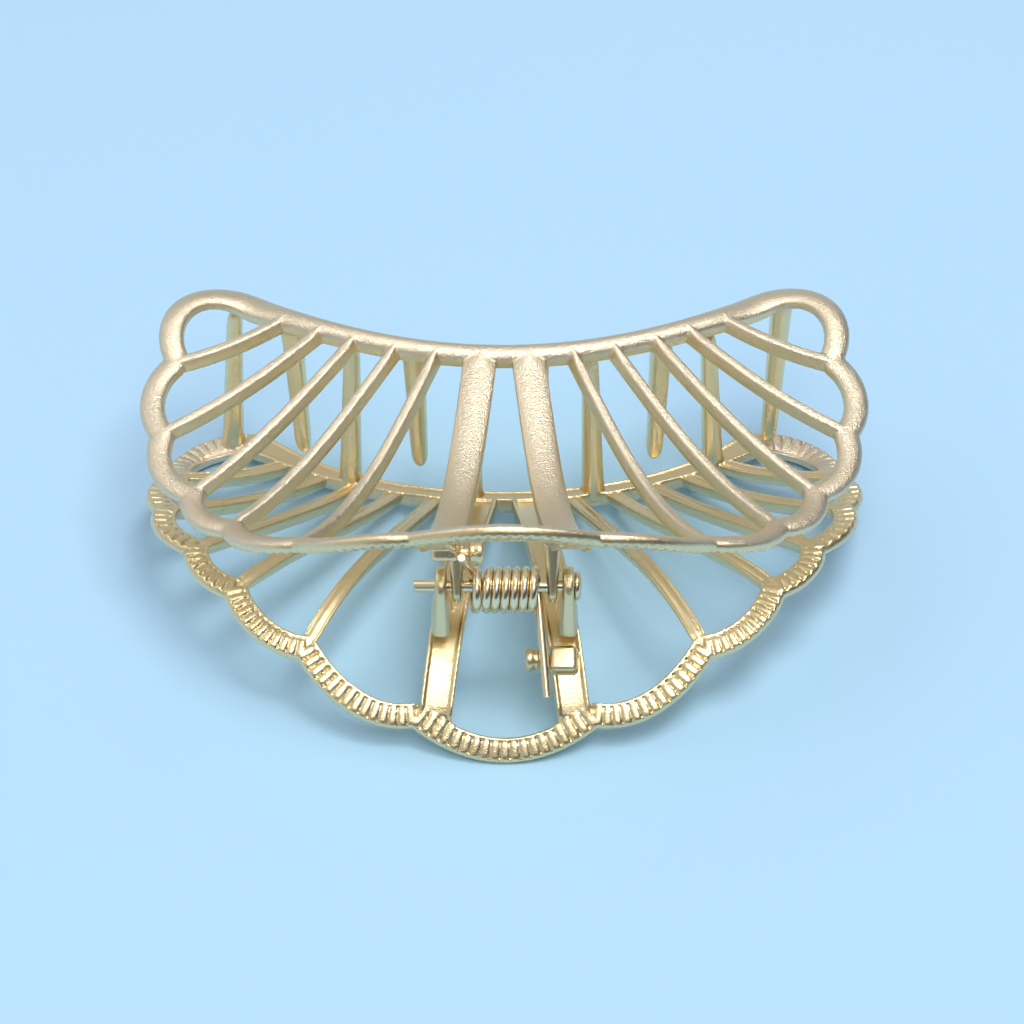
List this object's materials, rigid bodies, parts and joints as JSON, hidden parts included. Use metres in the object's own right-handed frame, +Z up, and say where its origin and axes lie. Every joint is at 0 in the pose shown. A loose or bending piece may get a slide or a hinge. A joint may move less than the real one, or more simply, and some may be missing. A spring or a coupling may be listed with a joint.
{
  "type": "claw hair clip",
  "caption": "Metal claw hair clip: a pair of pierced, fan-shaped shells with long interlocking teeth, hinged on a pin and held shut by a torsion spring.",
  "frame": {"origin": "middle of the closed clip's bounding box, on the floor that it lies on", "axes": "+X across the clip towards the hinge pin's head, +Y towards the teeth, +Z up"},
  "size_m": [0.087, 0.0568, 0.0349],
  "materials": {
    "cast_gold": "satin light gold plating on a zinc casting",
    "bright_gold": "bright light gold plating on steel"
  },
  "bodies": {
    "lower": {"lower_half": "cast_gold", "hinge_pin": "bright_gold", "spring": "bright_gold"},
    "upper": {"upper_half": "cast_gold", "spring_upper_leg": "bright_gold"}
  },
  "joints": [
    {"name": "jaw_hinge", "type": "hinge", "parent": "lower", "child": "upper", "pos_m": [0, -0.01509, 0.01645], "axis": [1, 0, 0], "range_deg": [0, 105], "stiffness_Nm_per_rad": 0.115, "springref_deg": -8.59}
  ]
}
